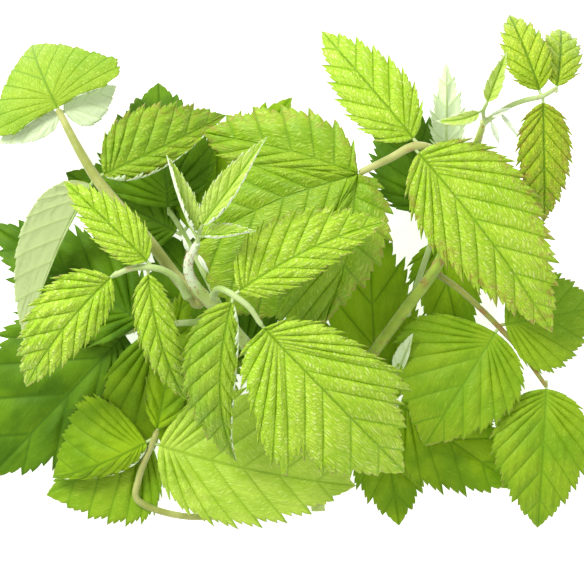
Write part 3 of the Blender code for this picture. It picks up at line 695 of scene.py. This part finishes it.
# The low leaf grows near the cut end and spreads under the front leaf. Its blades are broad,
# smooth and soft green, and the blades behind it are deeper.
SHADE_SKINS = (
    blade_finish("shade leaf top", (0.14, 0.28, 0.002, 1), (0.27, 0.44, 0.006, 1), (0.32, 0.48, 0.02, 1),
                 (0.11, 0.24, 0.001, 1), (0.30, 0.34, 0.06, 1), 0.55, 0.3, 0.15),
    LEAF_SKINS[1],
)
# The darkest skin is the shade leaf colour made darker still: painted shade for the blades that lie deepest
# under the other leaves.
PAINTED_SHADE_SKINS = (
    blade_finish("dark leaf top", (0.06, 0.15, 0.001, 1), (0.12, 0.25, 0.003, 1), (0.15, 0.28, 0.01, 1),
                 (0.05, 0.13, 0.001, 1), (0.16, 0.22, 0.03, 1), 0.55, 0.3, 0.15),
    LEAF_SKINS[1],
)
SOFT_SKINS = (
    blade_finish("soft leaf top", (0.175, 0.335, 0.004, 1), (0.265, 0.42, 0.009, 1), (0.40, 0.55, 0.05, 1),
                 (0.13, 0.29, 0.002, 1), (0.36, 0.38, 0.08, 1), 0.5, 0.45, 0.2),
    LEAF_SKINS[1],
)
low_leaf = Leaf(
    "low_leaf",
    ((7.0, -84, 3.2), (-16, -90, 5), (-42, -92, 9), (-62, -86, 11), (-62.5, -76, 14), (-56.5, -61, 21),
     (-55, -57, 22)),
    (1.4, 1.1), 5, tan_finish,
)
low_leaf.add_end("low_end", (-43, 5, 15), 7.5, 10, veins=7, rise=1.6, roll=-6, skins=SHADE_SKINS,
        slot="shade_leaf")
low_leaf.add_side("low_left", (-98, -76, 8), 9, 26, veins=8, rise=5, roll=-18,
        fold=-18, columns=20, skins=SHADE_SKINS, slot="shade_leaf", curl=(1.8, 0))
leaflet(Vector((-57, -60.5, 12)), "low_fold", (-101, -83.5, 2), 27, 12, veins=8, rise=1, fold=0, droop=0.04,
        skins=SOFT_SKINS, slot="shade_leaf", solid=False)
# A brighter copy of the soft leaf colour for the low leaf's right leaflet: painted light that offsets the
# shade which the front leaf casts on it.
PAINTED_LIGHT_SKINS = (
    blade_finish("pale soft leaf top", (0.36, 0.56, 0.03, 1), (0.47, 0.66, 0.06, 1), (0.62, 0.76, 0.20, 1),
                 (0.24, 0.42, 0.01, 1), (0.46, 0.42, 0.12, 1), 0.45, 0.6),
    LEAF_SKINS[1],
)
low_leaf.add_side("low_right", (26, -79, 15), 30, 24, veins=9, rise=4, sway=-2,
        fold=5, columns=24, skins=PAINTED_LIGHT_SKINS, slot="shade_leaf", spread=44)

# The right leaf grows from the side shoot too, on a brown stalk, and hangs to the right. A part of
# its inner leaflet's margin is turned up, so a pale flap of the underside shows.
brown_finish = stem_finish(
    "brown leaf stalk", (0.20, 0.23, 0.02, 1), (0.32, 0.34, 0.05, 1), (0.28, 0.14, 0.03, 1), 0.14)
right_leaf = Leaf(
    "right_leaf",
    ((59.3, 7.1, 23.4), (68, 1, 20), (77, -7, 18), (84.5, -14.5, 17), (94, -25, 15), (103.4, -38, 13)),
    (1.2, 0.9), 3, brown_finish,
)
right_leaf.add_end("right_end", (101, -97, 1.0), 19, 21, veins=9, rise=6, columns=20,
        skins=SOFT_SKINS, slot="shade_leaf")
right_leaf.add_side("right_inner", (54, -63, 12), 22, 33, veins=9, rise=4, fold=3,
        droop=0.1, columns=24, skins=SOFT_SKINS, slot="shade_leaf")
leaflet(Vector((42.2, -34.5, 17)), "right_flap", (49.0, -16.6, 24), 2.0, 4.2, veins=3, rise=1, roll=160,
        fold=0, columns=8, skins=SOFT_SKINS, slot="shade_leaf", solid=False, crisp=0.15)
right_leaf.add_side("right_outer", (126, -6, 6), 20, 22, veins=8, rise=4, fold=4,
        columns=20, skins=SOFT_SKINS, slot="shade_leaf")

# Five shade leaves lie lowest, under all the others. They have had less light, so they are a deeper green,
# with smoother blades, and those with the darkest skin carry painted shade from the leaves above them.
left_shade = Leaf(
    "left_shade_leaf",
    ((-28.6, -10.6, 37), (-38, -12, 30), (-50, -13, 22), (-60, -14, 18), (-67, -16.5, 14.5)),
    (1.3, 1.0), 3,
)
back_shade = Leaf(
    "back_shade_leaf",
    ((-19.4, -22.4, 27.4), (-27, -10, 18.5), (-36, 8, 13), (-45, 25, 11.5), (-50, 33, 14.5)),
    (1.3, 1.0), 3,
)
front_shade = Leaf(
    "front_shade_leaf",
    ((14.6, -73, 3), (22, -64, 4), (29, -56, 5), (36, -49, 6), (42.5, -46, 6.5)),
    (1.2, 1.0), 3,
)
side_shade = Leaf(
    "side_shade_leaf",
    ((47.5, -6.5, 17.4), (50.5, 2, 15.8), (54, 12, 15.2), (57, 22, 14), (57.5, 31, 14)),
    (1.2, 1.0), 3,
)
under = Leaf(
    "under_leaf",
    ((-5.9, -40.6, 13.2), (-9, -38, 9), (-11.5, -34, 5.4), (-14.5, -28.5, 3.4)),
    (1.2, 1.0), 1,
)
SHADE_BLADES = (  # leaf, name, tip, left and right half, veins, rise, roll, fold, skins
    (left_shade, "left_shade_end", (-124, -76, 1.0), 24, 37, 7, 1, 0, 8, PAINTED_SHADE_SKINS),
    (left_shade, "left_shade_lower", (-33, -68, 6), 31, 28, 7, 1, -10, 1, SHADE_SKINS),
    (left_shade, "left_shade_upper", (-124, 28, 4), 22, 20, 7, 1, 7, 6, PAINTED_SHADE_SKINS),
    (back_shade, "back_shade_end", (-55, 86, 0.7), 26, 20, 7, 5, 0, 8, PAINTED_SHADE_SKINS),
    (back_shade, "back_shade_left", (-93, 49, 1.5), 17, 20, 7, 0.5, 3, 4, PAINTED_SHADE_SKINS),
    (back_shade, "back_shade_right", (0, 80, 3), 18, 18, 7, 1, -12, 8, SHADE_SKINS),
    (front_shade, "front_shade_end", (92, -80, 2), 20, 22, 7, 1, -7, 8, SHADE_SKINS),
    (front_shade, "front_shade_left", (31, 34, 3), 20, 20, 7, 0.5, 0, 8, SHADE_SKINS),
    (front_shade, "front_shade_right", (44, -96, 0.8), 17, 17, 7, 0.5, -9, 8, SHADE_SKINS),
    (side_shade, "side_shade_end", (41, 79, 0.7), 19, 17, 7, 4, 8, 8, PAINTED_SHADE_SKINS),
    (side_shade, "side_shade_lower", (70, -24, 5), 14, 15, 6, -2, 12, -3, SHADE_SKINS),
    (under, "under_end", (-57, 24, 1.0), 25, 25, 7, 0.2, 0, 4, PAINTED_SHADE_SKINS),
)
for leaf, name, tip, left, right, veins, rise, roll, fold, skins in SHADE_BLADES:
    add = leaf.add_end if name.endswith("_end") else leaf.add_side
    add(name, tip, left, right, veins=veins, rise=rise, roll=roll, fold=fold, skins=skins, slot="shade_leaf")

# Bristles: short reddish prickles stand on the canes, densest at the shoot tip, and fine pale
# hairs cover the canes and stalks. Each kind is one small cone, repeated and then placed.
prickle_finish = stem_finish(
    "prickles", (0.34, 0.14, 0.06, 1), (0.46, 0.30, 0.12, 1), (0.22, 0.06, 0.03, 1), 0.1)
hair_finish = stem_finish(
    "hairs", (0.66, 0.74, 0.50, 1), (0.78, 0.82, 0.68, 1), (0.6, 0.6, 0.4, 1), 0.0)


def bristles(name, finish, slot, seed, stems):
    """Cones on stems, given as route, radii, first and last place, count, length and thickness."""
    dice = np.random.default_rng(seed)
    cones = []
    for route, radii, first, last, count, length, thick in stems:
        line = np.array(smooth_route(route, 8))
        ahead = unit(np.gradient(line, axis=0))
        girth = np.interp(np.linspace(0, 1, len(line)), np.linspace(0, 1, len(radii)), radii)
        side = unit(np.cross(ahead, (0, 0, 1)))
        over = np.cross(side, ahead)
        for where, angle, grown in zip(dice.uniform(first, last, count), dice.uniform(0, 2 * np.pi, count),
                                       dice.uniform(0.6, 1.2, count)):
            i = int(where * (len(line) - 1))
            out = side[i] * math.sin(angle) + over[i] * math.cos(angle)
            step = line[min(i + 1, len(line) - 1)] - line[i]
            root = line[i] + step * dice.random() + out * girth[i] * 0.9
            point = out * length * grown - ahead[i] * length * dice.uniform(0.0, 0.7)
            cones.append((root, np.cross(out, ahead[i]) * thick, ahead[i] * thick, point))
    bpy.ops.object.select_all(action="DESELECT")
    bpy.ops.mesh.primitive_cone_add(vertices=5, radius1=1, radius2=0, depth=1, end_fill_type="NOTHING")
    piece = bpy.context.object
    piece.name = piece.data.name = name
    shape = np.array([v.co for v in piece.data.vertices])
    copies = piece.modifiers.new("copies", "ARRAY")
    copies.count = len(cones)
    bpy.ops.object.modifier_apply(modifier="copies")
    root, wide, deep, point = np.array(cones).transpose(1, 0, 2)[:, :, None, :]
    points = root + wide * shape[:, :1] + deep * shape[:, 1:2] + point * (shape[:, 2:] + 0.5)
    points[:, :, 2] = np.maximum(points[:, :, 2], 0)
    piece.data.vertices.foreach_set("co", ((points - PLAN_MIDDLE) * 0.001).ravel())
    piece.data.materials.append(finish)
    return finished(piece, slot)


bristles("cane_prickles", prickle_finish, "cane", 4, (
    (CANE_ROUTE, CANE_RADII, 0.0, 0.6, 130, 1.5, 0.3),
    (CANE_ROUTE, CANE_RADII, 0.6, 0.95, 170, 1.1, 0.22),
    (SIDE_ROUTE, SIDE_RADII, 0.1, 0.75, 110, 1.3, 0.28),
    (SIDE_ROUTE, SIDE_RADII, 0.75, 1.0, 70, 1.0, 0.2),
))
bristles("cane_hairs", hair_finish, "cane", 9, (
    (CANE_ROUTE, CANE_RADII, 0.3, 1.0, 1500, 0.7, 0.05),
    (SIDE_ROUTE, SIDE_RADII, 0.1, 0.75, 200, 0.7, 0.05),
    (SIDE_ROUTE, SIDE_RADII, 0.75, 1.0, 400, 0.7, 0.05),
))
bristles("stalk_hairs", hair_finish, "stalk", 16, [
    (leaf.route, (leaf.radius, leaf.radius), 0.0, 1.0, 200, 0.5, 0.04)
    for leaf in (left_leaf, front_leaf, rear_leaf, big_leaf, top_leaf, bud_leaf, tip_leaf, low_leaf,
                 right_leaf)
])

# The branch lies on a plain white light table, whose faint glow keeps the shadows pale, in soft
# light from above.
bpy.ops.object.select_all(action="DESELECT")
bpy.ops.mesh.primitive_plane_add(size=6.0, location=(0, 0, -0.0002))
table = bpy.context.object
table.name = "table"
table_finish, table_tree, table_shader = new_finish("table white", 0.9)
table_shader.inputs["Base Color"].default_value = (0.93, 0.93, 0.93, 1)
table_shader.inputs["Emission Color"].default_value = (1, 1, 1, 1)
table_shader.inputs["Emission Strength"].default_value = 0.55
table.data.materials.append(table_finish)

world = bpy.data.worlds.new("soft room")
world.use_nodes = True
world.node_tree.nodes["Background"].inputs[0].default_value = (1, 1, 1, 1)
world.node_tree.nodes["Background"].inputs[1].default_value = 0.85
bpy.context.scene.world = world
for name, place, size, power in (
    ("key", (-0.6, 0.65, 0.8), 0.4, 13.0),
    ("fill", (0.6, -0.5, 0.8), 0.9, 1.0),
):
    lamp = bpy.data.lights.new(name, "AREA")
    lamp.size = size
    lamp.energy = power
    holder = bpy.data.objects.new(name, lamp)
    bpy.context.scene.collection.objects.link(holder)
    holder.location = place
    holder.rotation_euler = (-Vector(place)).to_track_quat("-Z", "Y").to_euler()

# The camera looks straight down at the middle of the picture, through a lens long enough to see
# the high and the low leaves at nearly one scale.
FRAME_WIDTH = 0.2336
CAMERA_HEIGHT = 1.6
eye = bpy.data.cameras.new("camera")
eye.sensor_width = 36
eye.lens = 36 * (CAMERA_HEIGHT - 0.045) / FRAME_WIDTH
camera = bpy.data.objects.new("camera", eye)
bpy.context.scene.collection.objects.link(camera)
camera.location = (-PLAN_MIDDLE[0] * 0.001, -PLAN_MIDDLE[1] * 0.001, CAMERA_HEIGHT)
bpy.context.scene.camera = camera
bpy.context.scene.view_settings.view_transform = "Standard"
